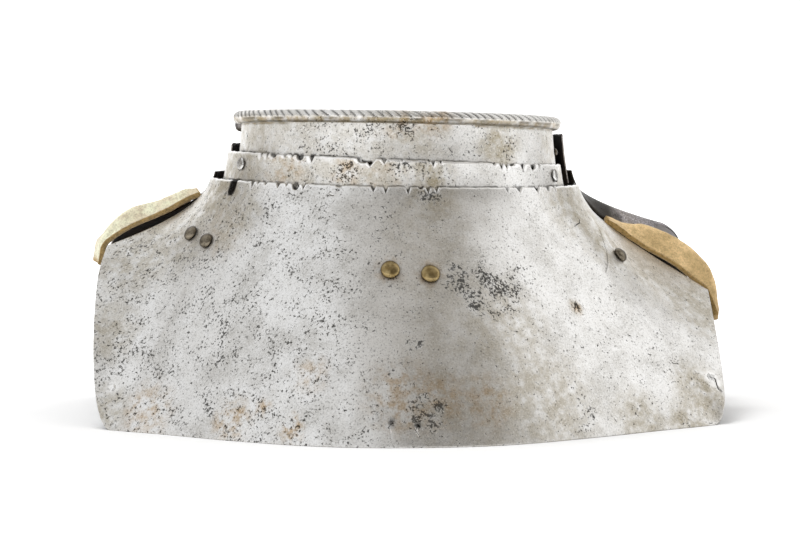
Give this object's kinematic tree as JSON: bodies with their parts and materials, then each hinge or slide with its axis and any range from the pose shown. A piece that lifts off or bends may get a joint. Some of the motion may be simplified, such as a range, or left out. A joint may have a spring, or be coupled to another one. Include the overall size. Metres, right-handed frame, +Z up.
{
  "type": "steel gorget",
  "caption": "Armour collar of overlapping steel plates: a roped rim, notched neck lames and a flared chest plate, hinged on one shoulder, with leather shoulder edges.",
  "frame": {"origin": "middle of the overall box, on the plane the lower edges of the front and back plates stand on", "axes": "+Z up, front of the gorget towards -Y, +X towards the wearer's left shoulder"},
  "size_m": [0.304, 0.261, 0.1472],
  "materials": {
    "steel": "bright polished steel, finely pitted",
    "inner_steel": "dull dark steel",
    "brass": "dull pitted brass",
    "iron": "brown worn iron",
    "leather": "matt buff leather with a raw cut edge"
  },
  "bodies": {
    "front_half": {"front_plate": "steel", "front_middle_lame": "steel", "front_collar": "steel", "chest_rivet_left": "brass", "chest_rivet_right": "brass", "shoulder_pivot": "iron", "shoulder_rivet_lower": "iron", "shoulder_stud": "iron", "front_lame_rivet_left": "steel", "front_lame_rivet_right": "steel", "collar_rivet": "iron"},
    "back_half": {"back_plate": "inner_steel", "back_middle_lame": "inner_steel", "back_collar": "inner_steel", "back_lame_rivet_left": "inner_steel", "back_lame_rivet_right": "inner_steel", "leather_left": "leather", "leather_right": "leather"}
  },
  "joints": [
    {"name": "shoulder_opening", "type": "hinge", "parent": "front_half", "child": "back_half", "pos_m": [-0.10417, -0.0212, 0.08776], "axis": [-0.701, -0.4344, 0.5656], "range_deg": [0, 20]}
  ]
}
